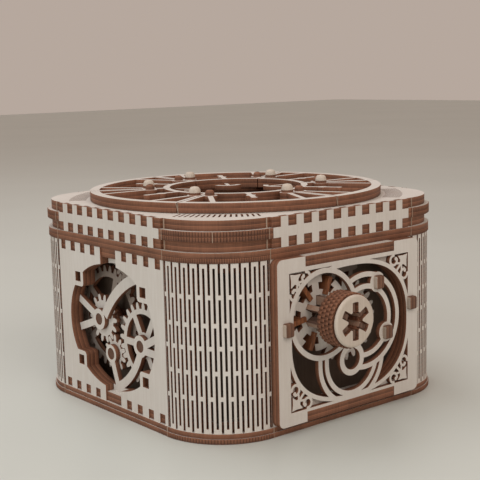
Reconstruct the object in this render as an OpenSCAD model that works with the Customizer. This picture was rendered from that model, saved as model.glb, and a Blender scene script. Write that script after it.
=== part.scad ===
// Laser-cut plywood puzzle box: a square box with bent corner panels, geared windows on three
// walls, a fretwork key panel on the front, and a round lid of six petals.
// Turning the key drives a ring under the lid, and the ring swings the petals open.
// The front wall faces -Y. The origin is the centre of the resting face, and +Z is up.

/* [Sheet] */
// Thickness of one plywood sheet
sheet_t = 2.4; // [2.2:0.1:2.5]
// Radius of the round wooden pins that the wheels and petals turn on
pin_r = 3; // [2:0.1:3.2]
// Radial clearance of a wheel on its pin
pin_gap = 0.08; // [0.03:0.01:0.1]

/* [Box] */
// Width across two opposite wall faces
box_w = 163; // [150:1:200]
// Outer radius of the bent corner panels
corner_r = 34.5; // [33:0.5:38]
// Height of the walls between the base and the rim
wall_h = 78.6; // [76:0.2:96]
// How far the rim and the collar stand out past the walls
rim_lip = 0.5; // [0.2:0.1:1]
// How far the base stands out past the walls
base_lip = 0.8; // [0:0.1:2]
// How far the recess rim and the top plate sit back from the walls
recess = 1.5; // [0.5:0.1:2]
// Distance from the wall faces to the outside of the inner chamber
chamber_inset = 19.1; // [18:0.1:20]

/* [Windows] */
// Half width of the oval opening in a window panel
window_rx = 38; // [34:0.5:40]
// Half height of the oval opening in a window panel
window_rz = 31.5; // [28:0.5:32]
// Gap between the two halves of a window panel
window_split = 14; // [10:0.5:16]
// Width of a notch along a window panel
notch_w = 4.2; // [3:0.1:5]
// Distance between two notches
notch_pitch = 9.4; // [9:0.1:10]
// Width of a square ear with its peg hole
ear_w = 9.8; // [8:0.1:10]
// Width of the square hole in an ear
ear_hole = 5; // [3:0.1:6]

/* [Gears] */
// Wanted size of the wheel teeth: pitch diameter over the number of teeth
tooth_size = 1.6; // [1.5:0.05:1.7]
// Play between two meshed teeth
backlash = 0.35; // [0.2:0.05:0.5]
// Teeth of the transfer wheel that the ring pegs drive
transfer_n = 15; // [14:1:16]
// Teeth of the large deep wheel
large_n = 32; // [30:1:32]
// Teeth of the small wheel on the same pin as the large one
small_n = 14; // [12:1:15]
// Teeth of the idle wheel
idle_n = 10; // [9:1:11]
// Teeth of the spoked wheel near the window
spoked_n = 25; // [22:1:25]
// Teeth of the wheel on the key's own axis
key_wheel_n = 10; // [9:1:11]
// Teeth of the front wheel that the key drives
front_n = 24; // [22:1:25]
// Teeth of the small wheel behind the front wheel
front_small_n = 8; // [8:1:10]
// Teeth of the front wheel that drives the ring pegs
crown_n = 24; // [22:1:25]

/* [Lid] */
// How far the lid's edge sits back from the wall faces
lid_inset = 4.7; // [4:0.1:6]
// Width of the outer band of a petal
petal_band = 4.8; // [4:0.1:6]
// Distance from the lid's edge to a petal's pivot
pivot_inset = 11.2; // [11:0.1:13]
// Angle from a petal's middle to its pivot
pivot_turn = 24; // [24:0.5:25]
// Teeth of a petal's wheel
petal_n = 12; // [12:1:14]
// Outer radius of the ring round the well in the middle of the lid
well_r = 38.4; // [34:0.2:42]
// Width of the ring round the well
well_band = 3.4; // [2.4:0.2:5]
// Gap between two petals
petal_gap = 0.6; // [0.4:0.1:1]
// Clearance under the petals
lid_gap = 0.2; // [0.1:0.1:0.5]
// Radius of the opening in the top plate
mouth_r = 50; // [46:0.5:51]
// Radius of the round stubs that stand on the petals
stub_r = 2.4; // [2:0.1:2.8]
// Height of the stubs over the petals
stub_h = 3.4; // [2:0.2:6]

/* [Key] */
// Distance of the key's axis from the middle of the front
key_x = -18; // [-20:0.5:-16]
// Radius of the round opening round the key
key_hole_r = 19.6; // [19.2:0.1:20]
// Radius of the key's toothed barrel discs
barrel_r = 13; // [11:0.5:15]
// Number of discs in the barrel
barrel_discs = 4; // [3:1:5]
// Radius of the key's smooth face disc
face_r = 12.2; // [10:0.2:13]
// Distance from the key panel to the barrel
barrel_standoff = 8.4; // [6:0.1:12]
// Radius that the six ribs of the key reach
rib_r = 8.4; // [7:0.1:8.6]
// Clearance round the ribs of the key
rib_gap = 0.25; // [0.2:0.05:0.4]

/* [Hidden] */
$fn = 72;
wall_names = ["front", "right", "back", "left"];
wheel_names = ["transfer_wheel", "large_wheel", "idle_wheel", "spoked_wheel"];
petal_names = ["plate", "frame", "pivot"];
birch = "#e6d8c3";
burnt = "#6b3f28";
amber = "#9a5a32";

// Heights of the layers
board_t = 2 * sheet_t;
base_z = board_t;
wall_top = base_z + wall_h;
recess_z = wall_top + board_t;
collar_z = recess_z + board_t;
top_z = collar_z + board_t;
lid_z = top_z + board_t;

// Distances from the box's axis to the layers of a wall
half_w = box_w / 2;
flat = half_w - corner_r;
joint_gap = 0.1;
overshoot = 1;
lining = half_w - 3 * sheet_t;
front_plane = lining - 0.3;
wheel_gap = 1.6;
deep_plane = front_plane - sheet_t - wheel_gap;
chamber_half = half_w - chamber_inset;
comb_face = half_w + rim_lip;
comb_back = comb_face - sheet_t;

// Ring and lid
peg_r = deep_plane - sheet_t / 2;
peg_n = round(2 * peg_r / tooth_size);
wall_m = 2 * peg_r / peg_n;
ring_peg_w = 1.9;
ring_peg_depth = 2.4;
run_gap = 0.2;
ring_z = recess_z + sheet_t + run_gap;
ring_lap = 6;
ring_r = peg_r + sheet_t / 2 + ring_lap;
peg_mesh = 1.8;
pitch_z = ring_z - peg_mesh;
lid_r = half_w - lid_inset;
pivot_r = lid_r - pivot_inset;
sun_n = round((2 * pivot_r - petal_n * tooth_size) / tooth_size);
lid_m = 2 * pivot_r / (sun_n + petal_n);
petal_gear_r = petal_n * lid_m / 2;
collar_hole_r = pivot_r + petal_gear_r + lid_m + 0.7;
petal_swing = 48;

// Wheel positions behind a window: [across, up], seen from outside
addendum = 0.85;
dedendum = 1.15;
transfer_at = [0, pitch_z - transfer_n * wall_m / 2];
large_x = -18.5;
large_at = [large_x, transfer_at.y - leg((transfer_n + large_n) * wall_m / 2, large_x)];
spoked_offset = [36.7, -7.6];
spoked_at = large_at + spoked_offset;
idle_at = third(large_at, spoked_at, (small_n + idle_n) * wall_m / 2,
                (spoked_n + idle_n) * wall_m / 2);
window_drop = 33.2;
window_z = transfer_at.y - window_drop;

// Wheel positions behind the key panel
front_crown_at = [0, pitch_z - crown_n * wall_m / 2];
front_x = 7.7;
front_at = [front_x, front_crown_at.y - leg((crown_n + front_small_n) * wall_m / 2, front_x)];
key_at = [key_x, front_at.y + leg((front_n + key_wheel_n) * wall_m / 2, front_x - key_x)];

// Window panels
notch_first = 7.3;
ear_at = [29.3, 21.9];
corner_clear = deep_plane + 0.4;
hub_r = 5.5;
idle_hub_r = 4.7;
pin_recess = 0.5;
arm_w = 5.4;
prong_w = 3.8;

// Key panel
panel_face = half_w + board_t;
panel_window = 39.8;
panel_window_z = 32.8;
panel_round = 3;
tongue_half = 29.7;
oval_squareness = 2.5;
arcs_at = [9, key_at.y - 7.6];
arc_radii = [22.9, 17];
ring_at = [0, window_z - 14.4];
ring_radii = [8.2, 5.3];
loop_radii = [21, 16.8];
band_w = 2.5;
peg_w = 4.8;
peg_h = 5.6;
peg_out = 3.2;
peg_pad_r = 5;
peg_spots = [[-41.6, window_z + 7], [41.6, window_z + 7], arcs_at + polar(20, 64),
             arcs_at + polar(17, -28)];

// Key and its drive
barrel_face = panel_face + barrel_standoff;
key_end = barrel_face + (barrel_discs + 1) * sheet_t;
drive_gap = 0.8;
star_face = half_w + 0.7;
star_back = front_plane + drive_gap + sheet_t;
rib_t = sheet_t;
rib_in = 4.2;
face_slot_gap = 0.7;
rib_recess = 1.4;
bore_r = 4.4;
star_hub_r = 11.4;
star_r = key_hole_r - 1.4;
star_arm = 4.2;
star_tip = [3.4, 9.2];
drive_rib_r = star_r - 0.2;
drive_rib_in = 9.2;
arm_turn = 38;
knurl_n = 36;
knurl_depth = 0.7;

// Fans of slits at the corners of the top plate
slit_count = 16;
slit_turn = 1.75;
slit_w = 1;
slit_len = 9;

// Comb strips: tabs of the layers behind stand between their teeth
comb_half = 45;
comb_pitch = 9.55;
comb_tooth = 4.5;
comb_tab_back = 0.7;

// Petals, measured from the middle of the lid
side_rib_w = 4.4;
brace_w = 2.6;
brace_turn = 17;
pivot_to_rib = pivot_r * sin(30 - pivot_turn) - side_rib_w / 2;
pad_r = pivot_to_rib + 1.5;
boss_r = pivot_to_rib + 0.5;
stub_ring = well_r + 7.6;
stub_turn = 30 - asin((stub_r + 1.6) / stub_ring);
stub_pad_r = stub_r + 1.4;
spindle_ring = stub_ring + 2;
spindle_half = 9;
spindle_w = 2.6;
knob_r = 2.5;
crescent_at = well_r - 8;
crescent_r = 7;
crescent_w = 2.8;

// The other short side of a right triangle
function leg(c, a) = sqrt(c * c - a * a);
// The lower meeting point of a circle of radius ra about a and one of radius rb about b
function third(a, b, ra, rb) =
    let (d = norm(b - a), e = (b - a) / d, s = (ra * ra - rb * rb + d * d) / (2 * d))
    a + s * e + leg(ra, s) * [e.y, -e.x];
function polar(r, a) = [r * cos(a), r * sin(a)];
function bearing(a, b) = atan2(b.y - a.y, b.x - a.x);
function frac(x) = x - floor(x);
function involute(a) = tan(a) - a * PI / 180;
// Phase of a wheel with n2 teeth that meshes with a wheel of n1 teeth at phase turn,
// when it lies in the direction dir from that wheel
function mesh(turn, n1, n2, dir) = dir + 180 - (0.5 - (dir - turn) * n1 / 360) * 360 / n2;
// Half angle of an involute tooth at radius r
function tooth_half(n, m, r) =
    let (rp = n * m / 2, rb = rp * cos(20), rr = max(r, rb))
    90 / n - backlash / 4 / rp * 180 / PI
    + (involute(20) - involute(acos(rb / rr))) * 180 / PI;
function gear_points(n, m, turn) =
    let (rp = n * m / 2, radii = [rp - dedendum * m, rp - 0.35 * m, rp + 0.2 * m,
                                  rp + addendum * m])
    [for (i = [0 : n - 1])
        let (a = turn + i * 360 / n)
        each concat([for (k = [0 : 3]) polar(radii[k], a - tooth_half(n, m, radii[k]))],
                    [for (k = [3 : -1 : 0]) polar(radii[k], a + tooth_half(n, m, radii[k]))])];

// Phase of each wheel: the angle of one tooth, seen from outside, on wall number w
function transfer_turn(w) = 90 + (frac(peg_n * (w - 1) / 4) + 0.5) * 360 / transfer_n;
function large_turn(w) = mesh(transfer_turn(w), transfer_n, large_n,
                              bearing(transfer_at, large_at));
function idle_turn(w) = mesh(large_turn(w), small_n, idle_n, bearing(large_at, idle_at));
function spoked_turn(w) = mesh(idle_turn(w), idle_n, spoked_n, bearing(idle_at, spoked_at));
crown_turn = 90 + (frac(-peg_n / 4) + 0.5) * 360 / crown_n;
front_turn = mesh(crown_turn, crown_n, front_small_n, bearing(front_crown_at, front_at));
key_turn = mesh(front_turn, front_n, key_wheel_n, bearing(front_at, key_at));

// ---------------------------------------------------------------- shapes used by many sheets

// Places a shape on wall w: 0 front, 1 right, 2 back, 3 left
module on_wall(w) rotate([0, 0, 90 * w]) children();

// Stands a flat shape up behind the plane at distance d from the axis, t thick
module upright(d, t = sheet_t) translate([0, -d, 0]) rotate([90, 0, 0])
    translate([0, 0, -t]) linear_extrude(t) children();

module layer(z, t = sheet_t) translate([0, 0, z]) linear_extrude(t) children();

module rounded_square(half, r) {
    square([2 * (half - r), 2 * half], center = true);
    square([2 * half, 2 * (half - r)], center = true);
    for (x = [-1, 1], y = [-1, 1]) translate([x, y] * (half - r)) circle(r);
}

module box_outline(past) rounded_square(half_w + past, corner_r + past);

// Oval with half axes a and b: a true ellipse at n = 2, and squarer above that
module oval(a, b, n) polygon([for (i = [0 : 95]) let (c = cos(i * 3.75), s = sin(i * 3.75))
    [a * sign(c) * pow(abs(c), 2 / n), b * sign(s) * pow(abs(s), 2 / n)]]);

// Straight bar of width w from a to b
module bar(a, b, w) translate(a) rotate(bearing(a, b)) translate([0, -w / 2])
    square([norm(b - a), w]);

// Sector between two angles that are less than 180 degrees apart
module sector(r, a0, a1) {
    am = (a0 + a1) / 2;
    reach = r / cos((a1 - a0) / 4);
    polygon([[0, 0], polar(r, a0), polar(reach, (a0 + am) / 2), polar(r, am),
             polar(reach, (am + a1) / 2), polar(r, a1)]);
}

// Band of width w along a circle of radius r between two angles
module arc_band(r, w, a0, a1) intersection() {
    difference() {
        circle(r + w / 2);
        circle(r - w / 2);
    }
    sector(2 * r, a0, a1);
}

module gear(n, turn) difference() {
    polygon(gear_points(n, wall_m, turn));
    circle(pin_r + pin_gap);
}

// Trapezoid openings that leave spokes between a hub and a rim
module spoke_windows(count, r0, r1, spoke) difference() {
    circle(r1);
    circle(r0);
    for (i = [0 : count - 1]) rotate(i * 360 / count) translate([0, -spoke / 2])
        square([r1 + 1, spoke]);
}

// ---------------------------------------------------------------- base and tab plates

module base() color(birch) {
    layer(0) box_outline(base_lip);
    layer(sheet_t) box_outline(base_lip - 0.3);
}

// Places of the eight notches across a window wall
function notch_at(s, i) = s * (window_split / 2 + notch_first + i * notch_pitch);

module notches(z, deep) for (s = [-1, 1], i = [0 : 3])
    translate([notch_at(s, i) - notch_w / 2, z]) square([notch_w, deep]);

// A tab plate fills the bent corners, and its tabs reach into the notches of the walls
module tab_plate(z) color(birch) layer(z, board_t) {
    tab_end = half_w - 0.8;
    difference() {
        rounded_square(half_w - sheet_t, corner_r - sheet_t);
        for (w = [0 : 3]) rotate(90 * w) translate([-flat - overshoot, -half_w])
            square([2 * (flat + overshoot), half_w - lining + joint_gap]);
        square(2 * corner_clear, center = true);
    }
    for (w = [1 : 3]) rotate(90 * w) {
        for (s = [-1, 1], i = [0 : 3])
            translate([notch_at(s, i) - (notch_w - joint_gap) / 2, -tab_end])
                square([notch_w - joint_gap, tab_end - corner_clear]);
        translate([-window_split / 2 + joint_gap, -tab_end])
            square([window_split - 2 * joint_gap, tab_end - lining + overshoot]);
    }
    tongue = tongue_half - joint_gap;
    translate([-tongue, -panel_face + 0.2])
        square([2 * tongue, panel_face - lining + overshoot]);
}

module lower_tab_plate() tab_plate(base_z);

module upper_tab_plate() tab_plate(wall_top - board_t);

// ---------------------------------------------------------------- walls

module corner_walls() color(birch) for (w = [0 : 3]) rotate([0, 0, 90 * w])
    translate([flat, flat, base_z]) intersection() {
        difference() {
            cylinder(h = wall_h, r = corner_r);
            translate([0, 0, -overshoot])
                cylinder(h = wall_h + 2 * overshoot, r = corner_r - sheet_t);
        }
        translate([joint_gap, joint_gap, -overshoot])
            cube([corner_r + 1, corner_r + 1, wall_h + 2 * overshoot]);
    }

module window_hole() translate([0, window_z]) oval(window_rx, window_rz, 2.1);

module window_ears() for (x = [-1, 1], z = [-1, 1])
    translate([ear_at.x * x, window_z + ear_at.y * z]) rounded_square(ear_w / 2, 2);

module ear_holes() for (x = [-1, 1], z = [-1, 1])
    translate([ear_at.x * x, window_z + ear_at.y * z]) square(ear_hole, center = true);

// One sheet of a window wall in two halves, with notches along its top and bottom edges
module window_sheet() difference() {
    union() {
        difference() {
            for (s = [0, 1]) mirror([s, 0]) translate([window_split / 2, base_z])
                square([flat - joint_gap - window_split / 2, wall_h]);
            window_hole();
        }
        window_ears();
    }
    notches(base_z - overshoot, board_t + overshoot);
    notches(wall_top - board_t, board_t + overshoot);
    ear_holes();
}

module window_panel_left() color(birch) on_wall(3) upright(half_w) window_sheet();

module window_panel_right() color(birch) on_wall(1) upright(half_w) window_sheet();

module window_panel_back() color(birch) on_wall(2) upright(half_w) window_sheet();

module window_liners() color(burnt) for (w = [1 : 3]) on_wall(w)
    upright(half_w - sheet_t) window_sheet();

// The innermost sheet carries three bearing hubs on arms that reach into the window
module bridge_sheet() difference() {
    union() {
        difference() {
            translate([-flat + joint_gap, base_z]) square([2 * (flat - joint_gap), wall_h]);
            window_hole();
        }
        window_ears();
        for (at = [large_at, spoked_at]) translate(at) circle(hub_r);
        translate(idle_at) circle(idle_hub_r);
        bar(idle_at, [idle_at.x + 6, window_z - window_rz - 1], prong_w);
        for (z = [-6.5, 9]) bar(large_at + [-2, z / 6], [1 - window_rx, window_z + z], prong_w);
        for (z = [-9, 1.5]) bar(spoked_at + [2, z / 6], [window_rx - 1, window_z + z], prong_w);
        translate(large_at + [54, -29]) arc_band(58, arm_w, 103, 147);
        translate(spoked_at + [-37, 12]) arc_band(40, arm_w - 1, -66, -20);
    }
    for (at = [large_at, spoked_at, idle_at]) translate(at) circle(pin_r);
    for (z = [base_z - overshoot, wall_top - board_t]) {
        translate([-window_split / 2, z]) square([window_split, board_t + overshoot]);
        notches(z, board_t + overshoot);
    }
    ear_holes();
}

module window_bridges() color(birch) for (w = [1 : 3]) on_wall(w)
    upright(half_w - board_t) bridge_sheet();

// ---------------------------------------------------------------- front wall and key panel

module peg_square(i) translate(peg_spots[i]) square([peg_w, peg_h], center = true);

// Cuts at the top and bottom edges that the wide tongues of the tab plates fill
module tongue_cuts() for (z = [base_z - overshoot, wall_top - board_t])
    translate([-tongue_half, z]) square([2 * tongue_half, board_t + overshoot]);

module key_panel_outline() difference() {
    translate([0, base_z + wall_h / 2]) {
        square([2 * (flat - panel_round), wall_h], center = true);
        square([2 * flat, wall_h - 2 * panel_round], center = true);
        for (x = [-1, 1], z = [-1, 1])
            translate([x * (flat - panel_round), z * (wall_h / 2 - panel_round)])
                circle(panel_round);
    }
    tongue_cuts();
}

module panel_oval(extra) translate([0, window_z])
    oval(window_rx + 0.8 + extra, window_rz + extra, oval_squareness);

module key_panel_opening() {
    panel_oval(0);
    translate(key_at) circle(key_hole_r);
}

// Hooked curl that stands against the edge of the key panel's window
module curl() {
    arc_band(2.4, 1.3, 75, 215);
    arc_band(2.4, 1.3, 214, 375);
    translate(polar(1.75, 22)) circle(0.95);
}

// Leaf and two curls in one corner, drawn for the upper right with the corner at the origin
module corner_fret() {
    polygon([[-0.6, -0.6], [-3.6, -1.1], [-7.2, -1], [-5.6, -3.2], [-6, -6], [-3.2, -5.6],
             [-1, -7.2], [-1.1, -3.6]]);
    bar([-5, -5], [-9, -9], 1.3);
    for (m = [0, 1]) rotate(-90 * m) mirror([m, 0]) {
        translate([-10.4, -2.9]) curl();
        bar([-5.2, -5], [-8.9, -4.5], 1.1);
    }
}

// Pieces of the fretwork that cross the panel's square window
module key_panel_rings() {
    difference() {
        panel_oval(2);
        panel_oval(0);
    }
    translate(key_at) circle(key_hole_r + band_w);
    difference() {
        union() {
            translate(arcs_at) for (r = arc_radii, a = [-115, 15]) arc_band(r, band_w, a, a + 131);
            for (i = [2, 3]) translate(peg_spots[i]) circle(peg_pad_r);
        }
        translate(ring_at) circle(ring_radii[1]);
    }
    translate(ring_at) {
        difference() {
            circle(ring_radii[0]);
            circle(ring_radii[1]);
        }
        difference() {
            for (r = loop_radii) {
                arc_band(r, band_w, -180, -90);
                arc_band(r, band_w, -91, 20);
                translate([-r - band_w / 2, 0]) square([band_w, 7]);
            }
            translate(arcs_at - ring_at) circle(arc_radii[0]);
        }
    }
}

module key_panel_shape() {
    window = [2 * panel_window, 2 * panel_window_z];
    difference() {
        key_panel_outline();
        translate([0, window_z]) square(window, center = true);
        for (i = [0, 1]) peg_square(i);
    }
    difference() {
        union() {
            intersection() {
                key_panel_rings();
                translate([0, window_z]) square(window + [0.2, 0.2], center = true);
            }
            for (x = [0, 1], z = [0, 1]) translate([0, window_z]) mirror([x, 0]) mirror([0, z])
                difference() {
                    translate([panel_window, panel_window_z]) corner_fret();
                    translate([0, -window_z]) panel_oval(0);
                }
        }
        translate(key_at) circle(key_hole_r);
        for (i = [0 : 3]) peg_square(i);
    }
}

module key_panel() color(birch) upright(panel_face) key_panel_shape();

module key_panel_backing() color(burnt) upright(panel_face - sheet_t) difference() {
    key_panel_outline();
    key_panel_opening();
    for (i = [0, 1]) peg_square(i);
}

module front_wall() color(burnt) upright(half_w) difference() {
    translate([-flat + joint_gap, base_z]) square([2 * (flat - joint_gap), wall_h]);
    key_panel_opening();
    for (i = [0, 1]) peg_square(i);
    tongue_cuts();
}

// Square pegs that pin the key panel's layers, standing out in front of it
module key_panel_pegs() color(amber) {
    for (i = [0, 1]) upright(panel_face + peg_out, peg_out + 3 * sheet_t) peg_square(i);
    for (i = [2, 3]) upright(panel_face + peg_out, peg_out + sheet_t) peg_square(i);
}

// ---------------------------------------------------------------- chamber and pins

// Four boards and a floor that keep the contents clear of the wheels
module inner_chamber() color(birch) {
    layer(base_z, recess_z - base_z) difference() {
        square(2 * chamber_half, center = true);
        square(2 * (chamber_half - sheet_t), center = true);
    }
    layer(base_z) square(2 * (chamber_half - sheet_t), center = true);
}

// Round pins that carry the wheels. They stand out from the chamber walls, and the one of an
// idle wheel hangs in the window bridge, because the large wheel passes behind it
module wheel_pins() color(amber) {
    for (w = [1 : 3]) on_wall(w) {
        pin_end = half_w - board_t - pin_recess;
        for (at = [large_at, spoked_at]) upright(pin_end, pin_end - chamber_half)
            translate(at) circle(pin_r);
        upright(pin_end, 2 * sheet_t) translate(idle_at) circle(pin_r);
        upright(deep_plane + 0.3, deep_plane + 0.3 - chamber_half) translate(transfer_at)
            circle(pin_r);
    }
    upright(front_plane + 0.4, front_plane + 0.4 - chamber_half) translate(front_at)
        circle(pin_r);
    upright(star_back + 0.4, star_back + 0.4 - chamber_half) translate(key_at) circle(pin_r);
    upright(deep_plane + 0.3, deep_plane + 0.3 - chamber_half) translate(front_crown_at)
        circle(pin_r);
}

// ---------------------------------------------------------------- rim, collar and top plate

module rim_sheet(past) difference() {
    box_outline(past);
    rounded_square(corner_clear, 18);
}

module rim() color(burnt) {
    layer(wall_top) rim_sheet(rim_lip - 0.2);
    layer(wall_top + sheet_t) rim_sheet(rim_lip);
}

// Cuts an outline back along the flat sides, where the comb strips stand
module comb_cut() for (w = [0 : 3]) rotate(90 * w)
    translate([-comb_half - joint_gap, -half_w - board_t])
        square([2 * (comb_half + joint_gap), half_w + board_t - comb_back]);

// An outline cut back for the comb strips, with the tabs that stand between the comb teeth
module tabbed_outline(past) {
    tab = [comb_pitch - comb_tooth - 2 * joint_gap, 2 * (sheet_t - comb_tab_back)];
    difference() {
        box_outline(past);
        comb_cut();
    }
    for (w = [0 : 3]) rotate(90 * w) for (i = [-4.5 : 1 : 4.5])
        translate([i * comb_pitch, -comb_back]) square(tab, center = true);
}

// The lower sheet of the recess rim carries the ring, and the upper sheet keeps it centred
module recess_rim() color(burnt) {
    layer(recess_z) difference() {
        tabbed_outline(-recess);
        circle(peg_r + sheet_t);
    }
    layer(recess_z + sheet_t) difference() {
        tabbed_outline(-recess);
        circle(ring_r + 0.3);
    }
}

module collar() color(burnt) layer(collar_z, board_t) difference() {
    box_outline(rim_lip);
    comb_cut();
    circle(collar_hole_r);
}

module top_plate() color(birch) layer(top_z, board_t) difference() {
    top_sheet();
    for (w = [0 : 3], i = [0 : slit_count - 1])
        rotate(45 + 90 * w + (i - (slit_count - 1) / 2) * slit_turn)
            translate([lid_r + 2.2, -slit_w / 2]) square([slit_len, slit_w]);
}

module top_sheet() difference() {
    tabbed_outline(-recess);
    circle(mouth_r);
    for (k = [0 : 5]) rotate(petal_angle(k)) translate([pivot_r, 0]) circle(pin_r + pin_gap);
}

module comb_2d() {
    translate([-comb_half, collar_z]) square([2 * comb_half, board_t]);
    for (i = [-4 : 4], z = [recess_z + joint_gap, top_z])
        translate([i * comb_pitch - comb_tooth / 2, z]) square([comb_tooth, board_t - joint_gap]);
}

module comb_strips() color(birch) for (w = [0 : 3]) on_wall(w) upright(comb_face) comb_2d();

// ---------------------------------------------------------------- ring

module crown_ring() color(burnt) {
    layer(ring_z) difference() {
        circle(ring_r);
        circle(mouth_r);
    }
    layer(ring_z - ring_peg_depth, ring_peg_depth) for (k = [0 : peg_n - 1]) rotate(k * 360 / peg_n)
        translate([peg_r, 0]) square([sheet_t, ring_peg_w], center = true);
}

module sun_gear() color(birch) layer(ring_z + sheet_t) difference() {
    polygon(gear_points(sun_n, lid_m, 0));
    circle(mouth_r);
}

// ---------------------------------------------------------------- front train and key

module front_crown_wheel() color(birch) upright(deep_plane) translate(front_crown_at)
    difference() {
        gear(crown_n, crown_turn);
        spoke_windows(5, 6, crown_n * wall_m / 2 - 4.6, 3);
    }

module front_wheel() color(birch) {
    upright(front_plane) translate(front_at) difference() {
        gear(front_n, front_turn);
        spoke_windows(5, 6.5, front_n * wall_m / 2 - 4.2, 3);
    }
    upright(front_plane - sheet_t, wheel_gap) translate(front_at) difference() {
        circle(front_small_n * wall_m / 2 - dedendum * wall_m);
        circle(pin_r + pin_gap);
    }
    upright(deep_plane) translate(front_at) gear(front_small_n, front_turn);
}

module key_wheel() color(birch) {
    upright(front_plane) translate(key_at) gear(key_wheel_n, key_turn);
    upright(front_plane + drive_gap, drive_gap) translate(key_at) difference() {
        circle(5.8);
        circle(pin_r + pin_gap);
    }
}

// Six slots round a six-sided hole
module rib_slots(gap) {
    circle(bore_r, $fn = 6);
    for (i = [0 : 5]) rotate(60 * i + 30) translate([0, -rib_t / 2 - gap])
        square([rib_r + gap, rib_t + 2 * gap]);
}

// Disc with six T-shaped arms, and slots for the ribs that stand between the arms
module star_2d(bore) difference() {
    union() {
        circle(star_hub_r);
        for (i = [0 : 5]) rotate(60 * i + arm_turn) {
            translate([0, -star_arm / 2]) square([star_r - star_tip.x / 2, star_arm]);
            intersection() {
                difference() {
                    circle(star_r);
                    circle(star_r - star_tip.x);
                }
                translate([0, -star_tip.y / 2]) square([star_r, star_tip.y]);
            }
        }
    }
    if (bore) circle(pin_r + pin_gap);
    else rib_slots(rib_gap);
    for (i = [0 : 5]) rotate(60 * i + arm_turn - 30) translate([drive_rib_in, -rib_t / 2])
        square([star_r, rib_t]);
}

// Two discs with six T-shaped arms each, the front one slotted for the key's ribs
module star_discs() color(birch) {
    upright(star_face) translate(key_at) star_2d(false);
    upright(star_back) translate(key_at) star_2d(true);
}

// Six ribs that stand between the arms and join the two discs
module drive_ribs() color(amber) upright(star_face + 1.6, star_face + 1.6 - star_back + sheet_t)
    translate(key_at) for (i = [0 : 5]) rotate(60 * i + arm_turn - 30)
        translate([drive_rib_in, -rib_t / 2]) square([drive_rib_r - drive_rib_in, rib_t]);

function knurl_points(r, n, turn) = [for (i = [0 : n - 1]) let (a = turn + i * 360 / n)
    each [polar(r - knurl_depth, a - 180 / n), polar(r, a - 70 / n), polar(r, a + 70 / n)]];

module barrel_disc(turn) difference() {
    polygon(knurl_points(barrel_r, knurl_n, turn));
    rib_slots(0);
}

module key_barrel() color(burnt) for (i = [0 : barrel_discs - 1])
    upright(barrel_face + (i + 1) * sheet_t) translate(key_at) barrel_disc(i * 5);

module key_face() color(birch) upright(key_end) translate(key_at) difference() {
    circle(face_r);
    rib_slots(face_slot_gap);
}

module key_ribs() color(amber) {
    front_end = key_end - rib_recess;
    back_end = star_face - sheet_t + 0.3;
    upright(front_end, front_end - back_end) translate(key_at)
        for (i = [0 : 5]) rotate(60 * i + 30) translate([rib_in, -rib_t / 2])
            square([rib_r - rib_in, rib_t]);
}

// ---------------------------------------------------------------- window trains

module transfer_wheel(w) color(birch) on_wall(w) upright(deep_plane) translate(transfer_at)
    gear(transfer_n, transfer_turn(w));

module large_wheel(w) color(birch) on_wall(w) {
    upright(deep_plane) translate(large_at) difference() {
        gear(large_n, large_turn(w));
        spoke_windows(5, 8, large_n * wall_m / 2 - 4.6, 4);
    }
    upright(front_plane - sheet_t, wheel_gap) translate(large_at) difference() {
        circle(small_n * wall_m / 2 - dedendum * wall_m);
        circle(pin_r + pin_gap);
    }
    upright(front_plane) translate(large_at) gear(small_n, large_turn(w));
}

module idle_wheel(w) color(birch) on_wall(w) upright(front_plane) translate(idle_at)
    gear(idle_n, idle_turn(w));

module spoked_wheel(w) color(birch) on_wall(w) upright(front_plane) translate(spoked_at)
    difference() {
        gear(spoked_n, spoked_turn(w));
        spoke_windows(6, 6.6, spoked_n * wall_m / 2 - 4.4, 3.6);
    }

// ---------------------------------------------------------------- lid

function petal_angle(k) = 60 * k - pivot_turn;

// One sixth of the lid's disc, with a gap along each side
module petal_outline() intersection() {
    circle(lid_r);
    translate([petal_gap / 2 / sin(30), 0]) sector(2 * lid_r, -30, 30);
}

module petal_ring(r, w) difference() {
    circle(r + w / 2);
    circle(r - w / 2);
}

// Frame of a petal: outer band, the ring round the well, ribs along both joints with a brace and
// a pad for a stub, and a turned spindle down the middle
module petal_frame_2d() intersection() {
    petal_outline();
    union() {
        petal_ring(lid_r - petal_band / 2, petal_band);
        petal_ring(well_r - well_band / 2, well_band);
        for (s = [-1, 1]) {
            bar(polar(well_r - 1, 30 * s), polar(lid_r - 1, 30 * s), side_rib_w);
            bar(polar(stub_ring, stub_turn * s), polar(lid_r - 2, brace_turn * s), brace_w);
            translate(polar(stub_ring, stub_turn * s)) circle(stub_pad_r);
        }
        translate([well_r - 1, -spindle_w / 2])
            square([spindle_ring + spindle_half - well_r + 1, spindle_w]);
        for (x = [-spindle_half, 0, spindle_half]) translate([spindle_ring + x, 0])
            circle(x == 0 ? knob_r : knob_r - 0.8);
    }
}

// Plate under the frame, with pads for the pivot and a crescent in the well
module petal_plate_2d() difference() {
    union() {
        petal_frame_2d();
        intersection() {
            petal_outline();
            union() {
                rotate(-pivot_turn) translate([pivot_r, 0]) circle(pad_r);
                rotate(pivot_turn) translate([pivot_r, 0]) circle(boss_r);
                translate([crescent_at, 0]) {
                    arc_band(crescent_r, crescent_w, 118, 181);
                    arc_band(crescent_r, crescent_w, 179, 242);
                }
                translate([crescent_at - crescent_r, -1]) square([crescent_r + 6, 2]);
            }
        }
    }
    rotate(-pivot_turn) translate([pivot_r, 0]) circle(pin_r);
}

module petal_plate(k) color(birch) rotate(60 * k) layer(lid_z + lid_gap) petal_plate_2d();

module petal_frame(k) color(birch) rotate(60 * k) {
    layer(lid_z + lid_gap + sheet_t) petal_frame_2d();
    layer(lid_z + lid_gap + board_t, stub_h) translate(polar(stub_ring, stub_turn)) circle(stub_r);
}

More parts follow.
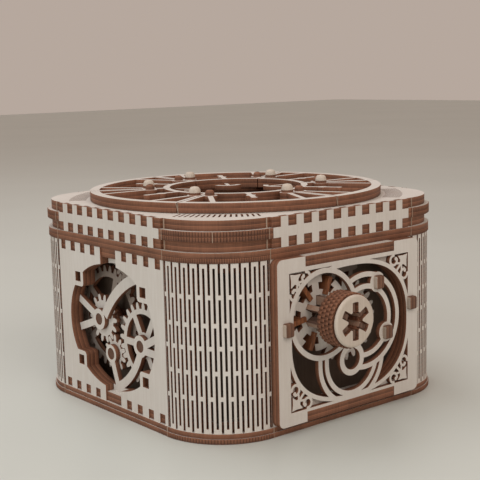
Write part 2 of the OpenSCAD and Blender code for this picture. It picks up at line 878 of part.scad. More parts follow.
// Pin and toothed wheel under a petal
module petal_pivot(k) color(amber) rotate(petal_angle(k)) translate([pivot_r, 0]) {
    wheel_z = ring_z + sheet_t + run_gap;
    layer(wheel_z) polygon(gear_points(petal_n, lid_m, mesh(-petal_angle(k), sun_n, petal_n, 0)));
    layer(wheel_z + sheet_t, lid_z + lid_gap - wheel_z) circle(pin_r);
}

base();
lower_tab_plate();
upper_tab_plate();
corner_walls();
window_panel_left();
window_panel_right();
window_panel_back();
window_liners();
window_bridges();
front_wall();
key_panel_backing();
key_panel();
key_panel_pegs();
inner_chamber();
wheel_pins();
rim();
recess_rim();
collar();
top_plate();
comb_strips();
crown_ring();
sun_gear();
front_crown_wheel();
front_wheel();
key_wheel();
star_discs();
drive_ribs();
key_barrel();
key_face();
key_ribs();
for (w = [1 : 3]) {
    side = wall_names[w];
    transfer_wheel(w);
    large_wheel(w);
    idle_wheel(w);
    spoked_wheel(w);
}
for (k = [1 : 6]) {
    petal_plate(k);
    petal_frame(k);
    petal_pivot(k);
}
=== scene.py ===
"""Looks of the laser-cut plywood puzzle box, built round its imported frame. Lengths are metres."""

import bpy
import numpy as np
from mathutils import Matrix, Vector


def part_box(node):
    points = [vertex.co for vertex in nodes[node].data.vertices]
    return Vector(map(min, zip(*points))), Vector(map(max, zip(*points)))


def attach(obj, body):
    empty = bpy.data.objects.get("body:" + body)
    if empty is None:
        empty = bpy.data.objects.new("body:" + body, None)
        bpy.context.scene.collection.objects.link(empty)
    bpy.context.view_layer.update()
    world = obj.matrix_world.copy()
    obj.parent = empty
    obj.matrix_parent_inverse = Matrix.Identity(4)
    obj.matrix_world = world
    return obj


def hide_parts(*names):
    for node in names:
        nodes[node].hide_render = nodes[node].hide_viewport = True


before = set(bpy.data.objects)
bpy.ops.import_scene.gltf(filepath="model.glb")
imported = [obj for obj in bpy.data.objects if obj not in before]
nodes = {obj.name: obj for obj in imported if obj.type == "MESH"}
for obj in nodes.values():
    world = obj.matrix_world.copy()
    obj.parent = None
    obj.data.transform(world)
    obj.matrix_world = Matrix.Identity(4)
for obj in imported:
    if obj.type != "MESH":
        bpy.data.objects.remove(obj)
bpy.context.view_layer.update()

# ---- Base -------------------------------------------------------------------------------------
# Two sheets of 2.4 mm birch plywood, glued, with rounded corners. Every piece of the box is cut
# from such sheets by a laser, so its two faces stay pale and its cut edges are burnt brown.
sheet = 0.0024
birch_pale = (0.690, 0.650, 0.608)
birch_warm = (0.600, 0.548, 0.495)
# Dark brown mixed into faces that lie deep in the box, and how much of it: painted shade of the
# recesses.
recess_shade_colour = (0.200, 0.140, 0.105)
recess_shade_cover = 0.75
burnt_dark = (0.048, 0.021, 0.014)
burnt_warm = (0.350, 0.152, 0.085)
wood_roughness = 0.62
wood_relief = 0.0001
wood_relief_strength = 0.35
face_limit = 0.72
evenly = (1.0, 1.0, 1.0)
grain_stretch = 0.06
stroke_stretch = 0.04
# Tones through one sheet, as shares of its thickness: three plies, and a dark line between them.
ply_tones = ((0.0, 0.08), (0.08, 0.52), (0.28, 0.50), (0.34, 0.36), (0.40, 0.66), (0.63, 0.72),
             (0.68, 0.52), (0.75, 0.86), (0.93, 1.0), (1.0, 0.3))


def blank_material(name, roughness):
    """An empty material with one Principled shader, and a function that adds a linked node."""
    material = bpy.data.materials.new(name)
    material.use_nodes = True
    tree = material.node_tree
    shader = tree.nodes["Principled BSDF"]
    shader.inputs["Roughness"].default_value = roughness
    shader.inputs["Specular IOR Level"].default_value = 0.3

    def add(kind, *inputs, **settings):
        node = tree.nodes.new(kind)
        for key, value in settings.items():
            setattr(node, key, value)
        for socket, value in zip(node.inputs, inputs):
            if isinstance(value, bpy.types.NodeSocket):
                tree.links.new(value, socket)
            elif value is not None:
                socket.default_value = value
        return node
    return material, tree, shader, add


def maths(add, operation, *inputs):
    """Result of one Math node."""
    return add("ShaderNodeMath", *inputs, operation=operation).outputs[0]


def weighted(add, *parts):
    """Sum of the parts, each given as a value and its weight."""
    total, *others = [maths(add, "MULTIPLY", value, weight) for value, weight in parts]
    for other in others:
        total = maths(add, "ADD", total, other)
    return total


def blend_colours(add, factor, first, second):
    """first where factor is 0 and second where it is 1; each is a colour or a socket."""
    node = add("ShaderNodeMix", data_type="RGBA")
    sockets = (node.inputs[0], node.inputs[6], node.inputs[7])
    for socket, value in zip(sockets, (factor, first, second)):
        if isinstance(value, bpy.types.NodeSocket):
            node.id_data.links.new(value, socket)
        else:
            socket.default_value = (*value, 1) if isinstance(value, tuple) else value
    return node.outputs[2]


def stretched_noise(add, place, stretch, scale, detail=3.0, seed=0.0):
    """Noise that is drawn out along the axes whose stretch is under 1. The seed shifts it."""
    mapped = add("ShaderNodeMapping", place, (seed, seed * 1.7, -seed), None, stretch)
    noise = add("ShaderNodeTexNoise", mapped.outputs[0])
    noise.inputs["Scale"].default_value = scale
    noise.inputs["Detail"].default_value = detail
    noise.inputs["Roughness"].default_value = 0.6
    return noise.outputs[0]


def ramp(add, value, *stops):
    """Ramp through stops, each a position and a colour, or a position and one grey tone."""
    node = add("ShaderNodeValToRGB", value)
    while len(node.color_ramp.elements) < len(stops):
        node.color_ramp.elements.new(0.5)
    for element, (position, colour) in zip(node.color_ramp.elements, stops):
        element.position = position
        element.color = (*colour, 1) if isinstance(colour, tuple) else (*(colour,) * 3, 1)
    return node.outputs[0]


def sheet_axes(add, coords, lie):
    """How far out a point lies along the sheet's own normal, and how much the surface faces
    that way. On a wall the normal is X or Y, whichever the point is farther out along."""
    place = add("ShaderNodeSeparateXYZ", coords.outputs["Object"]).outputs
    normal = add("ShaderNodeSeparateXYZ", coords.outputs["Normal"]).outputs
    facing = [maths(add, "ABSOLUTE", axis) for axis in normal]
    if lie == "side":
        return place[0], facing[0]
    if lie == "wall":
        away = [maths(add, "ABSOLUTE", axis) for axis in place]
        on_x = maths(add, "GREATER_THAN", away[0], away[1])
        on_y = maths(add, "SUBTRACT", 1.0, on_x)
        return (maths(add, "MAXIMUM", away[0], away[1]),
                weighted(add, (facing[0], on_x), (facing[1], on_y)))
    return place[2], facing[2]


def plywood(name, lie, start=0.0, face=(birch_pale, birch_warm), edge=(burnt_dark, burnt_warm),
            seed=0.0, smoke_depth=None):
    """Laser-cut plywood. Where the surface faces along the sheet's own normal it is birch with a
    long grain; elsewhere it is the burnt cut, with thin strokes across the sheet and its plies.
    lie is flat for sheets that lie, wall for sheets that stand along a wall, side for planks that
    face sideways, cut for a surface that is all cut edge, and sheet_face where a face attribute
    called cut says which it is. start is where the outermost ply begins. Faces nearer to the
    box's axis than the given shade depth are browned as painted shade of the recesses behind the
    walls."""
    material, tree, shader, add = blank_material(name, wood_roughness)
    coords = add("ShaderNodeTexCoord")
    place = coords.outputs["Object"]
    through, along = sheet_axes(add, coords, lie)
    if lie == "cut":
        is_face = 0.0
    elif lie == "sheet_face":
        cut_edge = add("ShaderNodeAttribute", attribute_name="cut").outputs["Fac"]
        is_face = maths(add, "SUBTRACT", 1.0, cut_edge)
    else:
        is_face = maths(add, "GREATER_THAN", along, face_limit)

    grain_way = (grain_stretch, 1.0, 1.0) if lie == "flat" else (1.0, 1.0, grain_stretch)
    cloud = stretched_noise(add, place, evenly, scale=22.0, detail=3.0, seed=seed)
    grain = stretched_noise(add, place, grain_way, scale=900.0, detail=4.0, seed=seed)
    fleck = stretched_noise(add, place, grain_way, scale=260.0, detail=2.0, seed=seed + 3.0)
    figure = weighted(add, (cloud, 0.55), (grain, 0.45))
    birch = ramp(add, figure, (0.30, face[1]), (0.64, face[0]))
    birch = blend_colours(add, ramp(add, fleck, (0.60, 0.0), (0.78, 0.35)), birch, face[1])
    # Painted shade: faces deeper in the box than the given depth are mixed toward dark brown, for
    # the shade behind the walls.
    if smoke_depth is not None:
        deep = maths(add, "LESS_THAN", through, smoke_depth)
        birch = blend_colours(add, maths(add, "MULTIPLY", deep, recess_shade_cover), birch, recess_shade_colour)

    stroke_way = (1.0, 1.0, stroke_stretch) if lie in ("flat", "cut") else evenly
    strokes = stretched_noise(add, place, stroke_way, scale=1500.0, detail=2.0, seed=seed)
    smoke = stretched_noise(add, place, evenly, scale=60.0, detail=3.0, seed=seed + 7.0)
    sheets_in = maths(add, "DIVIDE", maths(add, "SUBTRACT", through, start), sheet)
    plies = ramp(add, maths(add, "FRACT", sheets_in), *ply_tones)
    tone = weighted(add, (strokes, 0.24), (smoke, 0.44), (plies, 0.52))
    cut = ramp(add, tone, (0.38, edge[0]), (0.94, edge[1]))
    # Painted shade: points deep in the grooves between the ribs are darkened toward the dark burnt
    # tone.
    if lie == "cut":
        groove_shade = add("ShaderNodeAttribute", attribute_name="groove_shade").outputs["Fac"]
        cut = blend_colours(add, maths(add, "MULTIPLY", groove_shade, 0.7), cut, edge[0])
    tree.links.new(blend_colours(add, is_face, cut, birch), shader.inputs["Base Color"])

    bump = add("ShaderNodeBump")
    bump.inputs["Strength"].default_value = wood_relief_strength
    bump.inputs["Distance"].default_value = wood_relief
    tree.links.new(weighted(add, (grain, 0.4), (strokes, 0.6)), bump.inputs["Height"])
    tree.links.new(bump.outputs[0], shader.inputs["Normal"])
    return material


def dress(names, lie, **finish):
    """Gives each named node its own plywood, with the plies counted from the sheet's outer side."""
    for number, name in enumerate(names):
        low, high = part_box(name)
        start = low.z if lie == "flat" else max(-low.x, high.x, -low.y, high.y)
        material = plywood(name + "_ply", lie, start, seed=0.37 * number + len(name), **finish)
        nodes[name].data.materials.clear()
        nodes[name].data.materials.append(material)


dress(["base"], "flat")

# ---- Tab plates -------------------------------------------------------------------------------
# Two plates that close the bent corners at the bottom and the top. Their tabs reach out through
# the notches of the walls, where only the burnt ends show.
dress(["lower_tab_plate", "upper_tab_plate"], "flat")

# ---- Bent corner panels -----------------------------------------------------------------------
# Each corner is one sheet with 23 columns of slits, which let it bend to a quarter circle. Every
# second column is open at its ends, and the short bridges of the two kinds stand staggered.
low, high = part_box("corner_walls")
corner_out = 0.0345
slit_columns = 23
slit = 0.00112
bridge = 0.0021
bridges_open = (0.207, 0.506, 0.805)
bridges_closed = (0.359, 0.641)
end_gap = 0.0005
bend_at = high.x - corner_out
bend_centres = bend_at * np.array([[1, 1], [-1, 1], [-1, -1], [1, -1]])


def sheet_cells(present, along, up):
    """A bent sheet cut into cells. present says which cells of the grid are wood; along holds the
    distance of each column line from the sheet's end, up the height of each row line. Each wooden
    cell has a pale outer face, an inner one that takes the burnt colour as painted shade inside the
    box, and a cut face where its neighbour is open. The inner points are the outer ones again,
    numbered after them."""
    columns, rows = present.shape
    framed = np.zeros((columns + 2, rows + 2), bool)
    framed[1:-1, 1:-1] = present
    outer = np.arange((columns + 1) * (rows + 1)).reshape(columns + 1, rows + 1)
    inner = outer + outer.size
    here = np.argwhere(present)
    i, j = here[:, 0], here[:, 1]
    quads = [np.stack([outer[i, j], outer[i + 1, j], outer[i + 1, j + 1], outer[i, j + 1]], 1),
             np.stack([inner[i, j], inner[i, j + 1], inner[i + 1, j + 1], inner[i + 1, j]], 1)]
    # Inner faces are marked 1 too, so they take the burnt colour as painted shade inside the box.
    cut = [np.zeros(len(i)), np.ones(len(i))]
    for di, dj, a, b in ((-1, 0, (0, 0), (0, 1)), (1, 0, (1, 1), (1, 0)),
                         (0, -1, (1, 0), (0, 0)), (0, 1, (0, 1), (1, 1))):
        k = here[~framed[i + 1 + di, j + 1 + dj]]
        first = (k[:, 0] + a[0], k[:, 1] + a[1])
        second = (k[:, 0] + b[0], k[:, 1] + b[1])
        quads.append(np.stack([outer[first], outer[second], inner[second], inner[first]], 1))
        cut.append(np.ones(len(k)))
    grid = np.stack(np.meshgrid(along, up, indexing="ij"), -1).reshape(-1, 2)
    return grid, np.concatenate(quads), np.concatenate(cut)


def joined(parts):
    """Points and faces of several parts as one, with each part's faces renumbered."""
    starts = np.cumsum([0] + [len(points) for points, _ in parts[:-1]])
    return (np.concatenate([points for points, _ in parts]),
            np.concatenate([faces + start for (_, faces), start in zip(parts, starts)]))


def piece(name, points, faces, body, slot, material, cut=None, groove_shade=None):
    """Makes a mesh piece from arrays, drops unused points, and lets it ride on a body. cut says for
    each face whether it takes the burnt colour, which marks cut edges and also some painted shade,
    and the groove shade for each point how deep it lies in a groove, darkened there as painted
    shade."""
    used, renumbered = np.unique(faces, return_inverse=True)
    mesh = bpy.data.meshes.new(name)
    mesh.from_pydata(points[used].tolist(), [], renumbered.reshape(faces.shape).tolist())
    if cut is not None:
        burnt = mesh.attributes.new("cut", "FLOAT", "FACE")
        burnt.data.foreach_set("value", cut.astype(np.float32))
    if groove_shade is not None:
        groove_shade_layer = mesh.attributes.new("groove_shade", "FLOAT", "POINT")
        groove_shade_layer.data.foreach_set("value", groove_shade[used].astype(np.float32))
    mesh.materials.append(material)
    made = bpy.data.objects.new(name, mesh)
    bpy.context.scene.collection.objects.link(made)
    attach(made, body)
    return made


arc = corner_out * np.pi / 2
slit_middles = (np.arange(slit_columns) + 0.5) * arc / slit_columns
column_lines = np.sort(np.concatenate([[end_gap, arc - end_gap],
                                       slit_middles - slit / 2, slit_middles + slit / 2]))
tall = high.z - low.z


def bridge_lines(fractions):
    """Lower and upper lines of the bridges whose middles lie at fractions of the height."""
    middle = np.array(fractions) * tall
    return np.concatenate([middle - bridge / 2, middle + bridge / 2])


row_lines = np.sort(np.concatenate([[0, bridge, tall - bridge, tall],
                                    bridge_lines(bridges_open), bridge_lines(bridges_closed)]))
row_middles = (row_lines[:-1] + row_lines[1:]) / 2


def bridged(fractions):
    """Which rows lie within half a bridge of a bridge's middle."""
    return (np.abs(row_middles[:, None] - np.array(fractions) * tall) < bridge / 2).any(1)


at_an_end = (row_middles < bridge) | (row_middles > tall - bridge)
wood = np.ones((2 * slit_columns + 1, len(row_middles)), bool)
wood[1::4] = bridged(bridges_open)
wood[3::4] = bridged(bridges_closed) | at_an_end
grid, quads, cut = sheet_cells(wood, column_lines, row_lines + low.z)
quarters = []
for quarter, (centre_x, centre_y) in enumerate(bend_centres):
    angle = grid[:, 0] / corner_out + quarter * np.pi / 2
    sides = [np.stack([centre_x + radius * np.cos(angle), centre_y + radius * np.sin(angle),
                       grid[:, 1]], 1) for radius in (corner_out, corner_out - sheet)]
    quarters.append((np.concatenate(sides), quads))
panels = piece("bent_corner_panels", *joined(quarters), "box", "birch_ply",
               plywood("corner_ply", "sheet_face", low.z), np.tile(cut, 4))
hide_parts("corner_walls")

# ---- Window walls -----------------------------------------------------------------------------
# Three walls of three sheets each: a pale panel in two halves, a liner of the same outline, and
# a bridge sheet whose arms carry the wheels' pins in front of the oval opening.
dress(["window_panel_left", "window_panel_right", "window_panel_back", "window_liners",
       "window_bridges"], "wall")

# ---- Key wall ---------------------------------------------------------------------------------
# The front has a wall, a backing sheet and a fretwork panel, pinned by four square pegs. The
# pegs are planks that face sideways, so their ends are burnt and their sides pale. Their heads
# are sanded round, and stand over the panel a little wider than the holes.
dress(["front_wall", "key_panel_backing", "key_panel"], "wall")
peg_half_width = 0.0026
peg_half_height = 0.0033
peg_back = -0.0850
peg_front = -0.0888
peg_apart = 0.0085
peg_level = 1e-5
peg_side_tones = ((0.50, 0.42, 0.35), (0.38, 0.29, 0.23))
peg_end_tones = (burnt_dark, (0.27, 0.135, 0.085))


def rounded_block(centre, half, power=0.3, around=48, rise=20):
    """Superellipsoid about the Y axis. Each coordinate is its half size times the cosine or the
    sine of the two angles, each raised to power, and a smaller power makes the form squarer."""
    angle = np.linspace(0, 2 * np.pi, around, endpoint=False)
    lift = np.linspace(-np.pi / 2, np.pi / 2, rise + 2)[1:-1, None]

    def squared(wave):
        return np.sign(wave) * np.abs(wave) ** power

    ring = squared(np.cos(lift))
    body = np.stack([centre[0] + half[0] * ring * squared(np.cos(angle)),
                     np.broadcast_to(centre[1] - half[1] * squared(np.sin(lift)), (rise, around)),
                     centre[2] + half[2] * ring * squared(np.sin(angle))], -1).reshape(-1, 3)
    poles = [(centre[0], centre[1] + half[1], centre[2]),
             (centre[0], centre[1] - half[1], centre[2])]
    index = np.arange(rise * around).reshape(rise, around)
    after = np.roll(index, -1, 1)
    back_pole = np.full(around, rise * around)
    faces = [np.stack([index[:-1], after[:-1], after[1:]], -1).reshape(-1, 3),
             np.stack([index[:-1], after[1:], index[1:]], -1).reshape(-1, 3),
             np.stack([index[-1], after[-1], back_pole + 1], -1),
             np.stack([after[0], index[0], back_pole], -1)]
    return np.concatenate([body, poles]), np.concatenate(faces)


def peg_middles():
    """X and Z of each square peg. Mesh points on the pegs' front plane that lie nearer together
    than peg_apart belong to one peg, and their mean is its middle."""
    shanks = nodes["key_panel_pegs"].data.vertices
    places = np.empty(len(shanks) * 3)
    shanks.foreach_get("co", places)
    places = places.reshape(-1, 3)
    in_front = places[:, 1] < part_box("key_panel_pegs")[0].y + peg_level
    ends = np.unique(np.round(places[in_front][:, [0, 2]], 5), axis=0)
    near = np.linalg.norm(ends[:, None] - ends[None], axis=2) < peg_apart
    return np.unique(np.round(near @ ends / near.sum(1)[:, None], 4), axis=0)


pegs = peg_middles()
peg_half = (peg_half_width, (peg_back - peg_front) / 2, peg_half_height)
blocks = [rounded_block((across, (peg_back + peg_front) / 2, up), peg_half) for across, up in pegs]
heads = piece("rounded_pegs", *joined(blocks), "box", "burnt_edge_ply",
              plywood("peg_wood", "side", pegs[0][0], face=peg_side_tones, edge=peg_end_tones))
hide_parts("key_panel_pegs")

# ---- Chamber and pins -------------------------------------------------------------------------
# Four boards and a floor of plywood keep the contents clear of the wheels; their very dark
# colour is painted shade for the inside of the box. The round pins that carry the wheels stand on
# the boards' outer faces.
dress(["inner_chamber"], "wall", face=((0.17, 0.125, 0.095), (0.12, 0.082, 0.060)))
dress(["wheel_pins"], "wall", face=((0.16, 0.085, 0.055), burnt_dark))

# ---- Wheels of the window walls ---------------------------------------------------------------
# Each wall has a transfer wheel under the ring's pegs, a large wheel with a small one in front of
# it, an idle wheel and a spoked wheel. The wheels of the deeper layer get painted shade: their
# faces are browned for the shade behind the wall.
deep_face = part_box("transfer_wheel_right")[1].x + sheet / 4
for side in ("right", "back", "left"):
    dress([f"{wheel}_wheel_{side}" for wheel in ("transfer", "large", "idle", "spoked")], "wall",
          smoke_depth=deep_face)

# ---- Wheels of the front wall and the key -----------------------------------------------------
# The key's ribs slide in the slots of the star discs, which turn the key wheel, the front wheel
# and the front crown wheel under the ring. The barrel is a stack of four toothed discs.
amber_dark = (0.090, 0.034, 0.017)
amber_warm = (0.340, 0.125, 0.050)
key_face_tones = ((0.62, 0.545, 0.470), (0.50, 0.42, 0.35))
# The deeper faces of these wheels and of the star discs get painted shade.
dress(["front_crown_wheel", "front_wheel", "key_wheel"], "wall", smoke_depth=deep_face)
dress(["star_discs"], "wall", smoke_depth=-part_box("star_discs")[0].y - sheet)
face_low, face_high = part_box("key_face")
face_centre = ((face_low.x + face_high.x) / 2, (face_low.z + face_high.z) / 2)
face_radius = (face_high.x - face_low.x) / 2
face_soft = 0.0013
face_rim_turn = np.pi * 0.86
hole_soft = 0.00012
slot_ways = 6
slot_half = 0.0019
slot_end = 0.0089
slot_core = 0.0046


def key_face_disc(columns=720, rim_steps=12, burnt_steps=4):
    """The key's face disc. Seen from the front, its hole reaches slot_end along six slots of equal
    width and slot_core between them: the radius at an angle a from a slot's middle is slot_half
    over the sine of a, kept between those two. Its profile goes up the hole's wall, across the
    front, round the outer edge on an ellipse, and back under the disc. The hole's wall and the
    last burnt_steps of the profile are cut edge."""
    angle = np.linspace(0, 2 * np.pi, columns, endpoint=False)
    spacing = 2 * np.pi / slot_ways
    off = np.abs(angle % spacing - spacing / 2)
    hole = np.clip(slot_half / np.maximum(np.sin(off), 1e-6), slot_core, slot_end)
    thick = face_high.y - face_low.y
    around = np.linspace(0, face_rim_turn, rim_steps)
    rim = face_radius - face_soft + face_soft * np.sin(around)
    rim = np.broadcast_to(rim[:, None], (rim_steps, columns))
    radii = np.concatenate([[hole, hole, hole + hole_soft], rim])
    depth = np.concatenate([[0.0, thick - hole_soft, thick], thick / 2 * (1 + np.cos(around))])
    points = np.stack([face_centre[0] + radii * np.cos(angle),
                       np.broadcast_to(face_high.y - depth[:, None], radii.shape),
                       face_centre[1] + radii * np.sin(angle)], -1).reshape(-1, 3)
    index = np.arange(radii.size).reshape(radii.shape)
    outer = np.roll(index, -1, 0)
    quads = np.stack([index, outer, np.roll(outer, -1, 1), np.roll(index, -1, 1)], -1)
    cut = np.zeros(radii.shape)
    cut[0] = 1
    cut[-burnt_steps:] = 1
    return points, quads.reshape(-1, 4), cut.reshape(-1)


points, quads, cut = key_face_disc()
disc = piece("key_face_disc", points, quads, "key", "birch_ply",
             plywood("key_face_wood", "sheet_face", face_low.y, face=key_face_tones), cut)
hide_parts("key_face")
dress(["key_barrel"], "wall", face=(burnt_warm, burnt_dark))
dress(["drive_ribs"], "side", face=(amber_warm, amber_dark), edge=(amber_dark, amber_warm))
dress(["key_ribs"], "side", face=((0.42, 0.33, 0.26), burnt_warm),
      edge=(burnt_dark, (0.24, 0.14, 0.10)))

# ---- Rim, collar and top plate ----------------------------------------------------------------
# Layers that close the top. The rim and the collar stand out, the recess rim and the top plate
# sit back, and four comb strips clasp the straight sides. Round the bends, the burnt edges keep
# the fine upright ribs of the laser's cut.
dress(["rim", "recess_rim", "collar", "top_plate"], "flat")
dress(["comb_strips"], "wall")
rib_samples = 6
rib_proud = 0.00004
rib_root = 0.0003
rib_easing = 0.08
rib_sharpness = 0.8
collar_rib = (0.0014, 0.0003)
rim_rib = (0.0011, 0.00022)
base_rib = (0.00145, 0.00025)
rim_rib_sunk = 0.0002


def ribbed_edge(bottom, top, radius, rib):
    """A ribbed band round the four bent corners. rib is a rib's pitch and height. The outline
    goes round each quarter circle, and its radius rises by that height over every pitch as the
    sine of the way across a rib. The band's upright profile starts inside the sheet, comes out
    a little within bottom and top, and goes back in. Also gives each point's depth in a groove."""
    pitch, height = rib
    ribs = int(radius * np.pi / 2 / pitch)
    way = np.linspace(0, ribs, ribs * rib_samples + 1)
    swell = np.abs(np.sin(np.pi * way)) ** rib_sharpness
    angle = way / ribs * np.pi / 2
    out = radius + rib_proud + height * swell
    inside = np.full_like(out, radius - rib_root)
    easing = (top - bottom) * rib_easing
    radii = np.stack([inside, out, out, inside], 1)
    heights = np.array([bottom + easing / 3, bottom + easing, top - easing, top - easing / 3])
    columns, steps = radii.shape
    index = np.arange(columns * steps).reshape(columns, steps)
    around = np.roll(index, -1, 1)
    side = np.stack([index[:-1], index[1:], around[1:], around[:-1]], -1).reshape(-1, 4)
    faces = np.concatenate([side, [index[0], index[-1][::-1]]])
    quarters = []
    for quarter, (centre_x, centre_y) in enumerate(bend_centres):
        turned = angle[:, None] + quarter * np.pi / 2
        points = np.stack([centre_x + radii * np.cos(turned), centre_y + radii * np.sin(turned),
                           np.broadcast_to(heights, radii.shape)], -1).reshape(-1, 3)
        quarters.append((points, faces))
    # The groove depth returned here darkens the grooves as painted shade.
    return joined(quarters), np.tile(np.repeat(1 - swell, steps), 4)


def corner_radius(node):
    """Radius of a layer's rounded corners: what its half width leaves past the bend's centre."""
    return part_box(node)[1].x - bend_at


def ribbed_piece(name, *bands):
    """One piece of several ribbed bands."""
    made = [ribbed_edge(*band) for band in bands]
    piece(name, *joined([shape for shape, _ in made]), "box", "burnt_edge_ply",
          plywood(name + "_ply", "cut", bands[0][0]),
          groove_shade=np.concatenate([depth for _, depth in made]))


collar_low, collar_high = (corner.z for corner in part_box("collar"))
collar_middle = collar_low + sheet
rim_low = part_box("rim")[0].z
ribbed_piece("collar_ribs",
             (collar_low, collar_middle, corner_radius("collar"), collar_rib),
             (collar_middle, collar_high, corner_radius("collar"), collar_rib))
ribbed_piece("rim_ribs", (rim_low, rim_low + sheet, corner_radius("rim") - rim_rib_sunk, rim_rib))
ribbed_piece("base_ribs", (0.0, sheet, corner_radius("base"), base_rib))

# ---- Seams of the layers ----------------------------------------------------------------------
# Where two cut pieces of a layer meet, a thin pale sliver stands between their burnt ends, painted
# light for the light that shows through the gap: at both ends of every bent corner, and once in
# the middle of the collar's corners.
sliver_half = 0.00013
sliver_proud = 0.0001
sliver_sunk = 0.0004
# Tones of the slivers: painted light, for the light that shows through the gaps between pieces.
gap_light_tones = ((0.46, 0.36, 0.28), (0.30, 0.20, 0.14))


def upright_slivers(spots):
    """Thin upright bars. Each spot is the x, y and outward angle of a seam, its two heights, and
    how far its foot leans along the wall. A bar's corners are that place, moved along and out."""
    spots = np.array(spots)
    x, y, angle, low_end, high_end, lean = spots.T
    points = []
    for height, shift in ((low_end, lean), (high_end, 0 * lean)):
        for along, out in ((-sliver_half, -sliver_sunk), (sliver_half, -sliver_sunk),
                           (sliver_half, sliver_proud), (-sliver_half, sliver_proud)):
            step = along + shift
            points.append(np.stack([x + out * np.cos(angle) - step * np.sin(angle),
                                    y + out * np.sin(angle) + step * np.cos(angle),
                                    height], 1))
    points = np.stack(points, 1).reshape(-1, 3)
    bar = np.array([[0, 3, 2, 1], [4, 5, 6, 7], [0, 1, 5, 4],
                    [1, 2, 6, 5], [2, 3, 7, 6], [3, 0, 4, 7]])
    faces = (bar[None] + 8 * np.arange(len(spots))[:, None, None]).reshape(-1, 4)
    return points, faces


def seam_piece(name, spots, body, material_name):
    """One piece of pale slivers, painted light seen through the gaps, with no cut edge."""
    points, faces = upright_slivers(spots)
    piece(name, points, faces, body, "birch_ply",
          plywood(material_name, "sheet_face", face=gap_light_tones), cut=np.zeros(len(faces)))


seams = []
for node, bottom, top, turns in (
        ("collar", collar_low, collar_high, (1, 45, 89)),
        ("recess_rim", *(corner.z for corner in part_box("recess_rim")), (2, 88)),
        ("top_plate", *(corner.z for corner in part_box("top_plate")), (2, 88)),
        ("rim", *(corner.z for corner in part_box("rim")), (0, 90)),
        ("base", 0.0, sheet * 2, (0, 90))):
    radius = corner_radius(node)
    if node == "collar":
        radius += rib_proud + collar_rib[1]
    for quarter, (centre_x, centre_y) in enumerate(bend_centres):
        for degrees in turns:
            angle = np.radians(degrees + 90 * quarter)
            seams.append((centre_x + radius * np.cos(angle), centre_y + radius * np.sin(angle),
                          angle, bottom, top, 0.0))
seam_piece("layer_seams", seams, "box", "seam_gap_light")

# ---- Ring and sun gear ------------------------------------------------------------------------
# The ring turns in the recess rim, with 86 pegs below it, and carries the sun gear that turns
# the six petals.
dress(["crown_ring", "sun_gear"], "flat")

# ---- Lid petals -------------------------------------------------------------------------------
# Six petals of two sheets each, a plate with an open frame glued on it. Each swings out on its
# own pivot.
petal_numbers = range(1, 7)
for k in petal_numbers:
    dress([f"petal_{k}_plate", f"petal_{k}_frame", f"petal_{k}_pivot"], "flat")

# ---- Stubs and seams of the lid ---------------------------------------------------------------
# A short birch dowel with a rounded head stands beside each joint of the lid, with a burnt knob
# next to it on the neighbouring petal; the dowel's lower part takes the burnt colour as painted
# shade on its side. Pale slivers, painted light showing through the gap, stand where two petals
# meet in the outer wall.
lid_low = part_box("petal_6_plate")[0].z
lid_top = lid_low + 2 * sheet
lid_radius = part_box("petal_6_plate")[1].x
stub_ring = 0.046
stub_turn = np.radians(25.0)
# Share of each head's height, from its foot, that takes the burnt colour: painted shade on the
# dowel's side.
shaded_foot_share = 0.3
seam_turn = np.pi / 6 - 0.0068
seam_lean = 0.0012
dowel_ply = plywood("dowel_wood", "sheet_face", face=((0.66, 0.585, 0.505), (0.54, 0.46, 0.38)))
knob_ply = plywood("knob_wood", "cut")
# Label, turn from the petal's middle, radius, height, squareness, wood and slot of the two heads.
lid_heads = (("stub", stub_turn, 0.0030, 0.0044, 3.0, dowel_ply, "birch_ply"),
             ("knob", -stub_turn, 0.0024, 0.0030, 2.4, knob_ply, "burnt_edge_ply"))


def rounded_head(centre, radius, height, squareness, around=28, rise=12):
    """A head turned about an upright axis. Its profile runs where the squareness-th powers of
    radius share and height share add up to 1, from the foot to the pole."""
    angle = np.linspace(0, 2 * np.pi, around, endpoint=False)
    share = np.linspace(0, 1, rise, endpoint=False)[:, None]
    ring = radius * (1 - share ** squareness) ** (1 / squareness)
    body = np.stack([centre[0] + ring * np.cos(angle), centre[1] + ring * np.sin(angle),
                     np.broadcast_to(centre[2] + share * height, (rise, around))], -1)
    points = np.concatenate([body.reshape(-1, 3), [(centre[0], centre[1], centre[2] + height)]])
    index = np.arange(rise * around).reshape(rise, around)
    after = np.roll(index, -1, 1)
    pole = np.full(around, rise * around)
    faces = [np.stack([index[:-1], after[:-1], after[1:]], -1).reshape(-1, 3),
             np.stack([index[:-1], after[1:], index[1:]], -1).reshape(-1, 3),
             np.stack([index[-1], after[-1], pole], -1)]
    return points, np.concatenate(faces)


for k in petal_numbers:
    middle_turn = np.radians(60 * k)
    for label, turn, radius, height, squareness, wood, slot in lid_heads:
        angle = middle_turn + turn
        foot = (stub_ring * np.cos(angle), stub_ring * np.sin(angle), lid_top)
        points, faces = rounded_head(foot, radius, height, squareness)
        # The lower faces of each head are marked cut, so the dowel's foot is painted shade; the
        # knob is burnt all over anyway.
        face_heights = points[faces][:, :, 2].mean(1)
        piece(f"petal_{k}_{label}", points, faces, f"petal_{k}", slot, wood,
              cut=face_heights < lid_top + shaded_foot_share * height)
    # The pale slivers at the petals' joints are painted light seen through the gaps.
    ends = []
    for way, lean in ((-1, 0.0), (1, seam_lean)):
        angle = middle_turn + way * seam_turn
        ends.append((lid_radius * np.cos(angle), lid_radius * np.sin(angle), angle,
                     lid_low, lid_top, lean))
    seam_piece(f"petal_{k}_seams", ends, f"petal_{k}", f"petal_{k}_seam_gap_light")

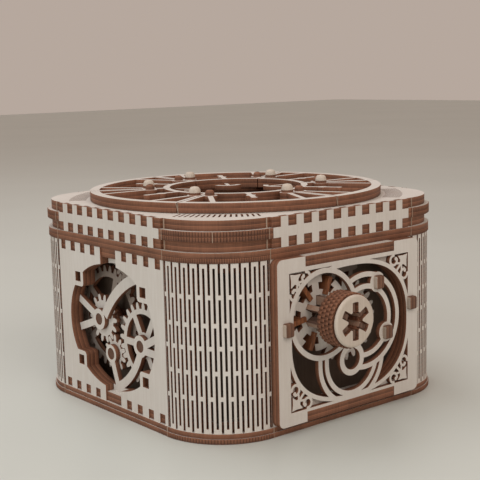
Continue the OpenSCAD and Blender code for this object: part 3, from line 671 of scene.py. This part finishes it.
# ---- Floor, light and camera ------------------------------------------------------------------
# A pale satin table top under broad soft lights. The camera stands low in front of the corner
# between the left window and the key wall.
room = bpy.data.worlds.new("pale_room")
room.use_nodes = True
glow = room.node_tree.nodes["Background"].inputs
glow["Color"].default_value = (0.51, 0.425, 0.370, 1)
glow["Strength"].default_value = 0.92
bpy.context.scene.world = room
bpy.context.scene.view_settings.view_transform = "Standard"

table_reach = 4.0
table_tones = ((0.605, 0.635, 0.600), (0.64, 0.67, 0.635))
table_corners = [(-table_reach, -table_reach, 0), (table_reach, -table_reach, 0),
                 (table_reach, table_reach, 0), (-table_reach, table_reach, 0)]
table_mesh = bpy.data.meshes.new("table_top")
table_mesh.from_pydata(table_corners, [], [(0, 1, 2, 3)])
table_top = bpy.data.objects.new("table_top", table_mesh)
bpy.context.scene.collection.objects.link(table_top)
table_material, tree, shader, add = blank_material("satin_table", 0.38)
mottle = stretched_noise(add, add("ShaderNodeTexCoord").outputs["Object"], evenly, scale=3.0)
table_colour = ramp(add, mottle, (0.3, table_tones[0]), (0.7, table_tones[1]))
tree.links.new(table_colour, shader.inputs["Base Color"])
table_mesh.materials.append(table_material)

box_middle = Vector((0.0, 0.0, 0.055))


def soft_light(name, place, size, power, colour):
    """A square lamp at place that faces the middle of the box."""
    lamp = bpy.data.lights.new(name, "AREA")
    lamp.shape = "SQUARE"
    lamp.size = size
    lamp.energy = power
    lamp.color = colour
    holder = bpy.data.objects.new(name, lamp)
    holder.location = place
    holder.rotation_euler = (box_middle - Vector(place)).to_track_quat("-Z", "Y").to_euler()
    bpy.context.scene.collection.objects.link(holder)


soft_light("window_light", (-1.15, -0.30, 0.70), 0.8, 4.7, (0.85, 0.96, 1.0))
soft_light("front_light", (-0.20, -0.95, 0.80), 0.6, 3.6, (1.0, 0.92, 0.85))
soft_light("top_light", (-0.1, 0.5, 1.2), 0.8, 5.0, (0.98, 0.98, 1.0))

camera_at = Vector((-0.35294, -0.43615, 0.16695))
camera_aim = Vector((-0.004686, -0.00858, 0.07954))
camera_roll = np.radians(-1.323)
ahead = (camera_aim - camera_at).normalized()
level = ahead.cross(Vector((0, 0, 1))).normalized()
upright = level.cross(ahead)
camera_right = level * np.cos(camera_roll) + upright * np.sin(camera_roll)
camera_up = upright * np.cos(camera_roll) - level * np.sin(camera_roll)
lens = bpy.data.cameras.new("camera")
lens.lens = 79.25
lens.sensor_width = 36.0
lens.clip_start = 0.01
camera = bpy.data.objects.new("camera", lens)
camera.matrix_world = Matrix((camera_right, camera_up, -ahead)).transposed().to_4x4()
camera.location = camera_at
bpy.context.scene.collection.objects.link(camera)
bpy.context.scene.camera = camera
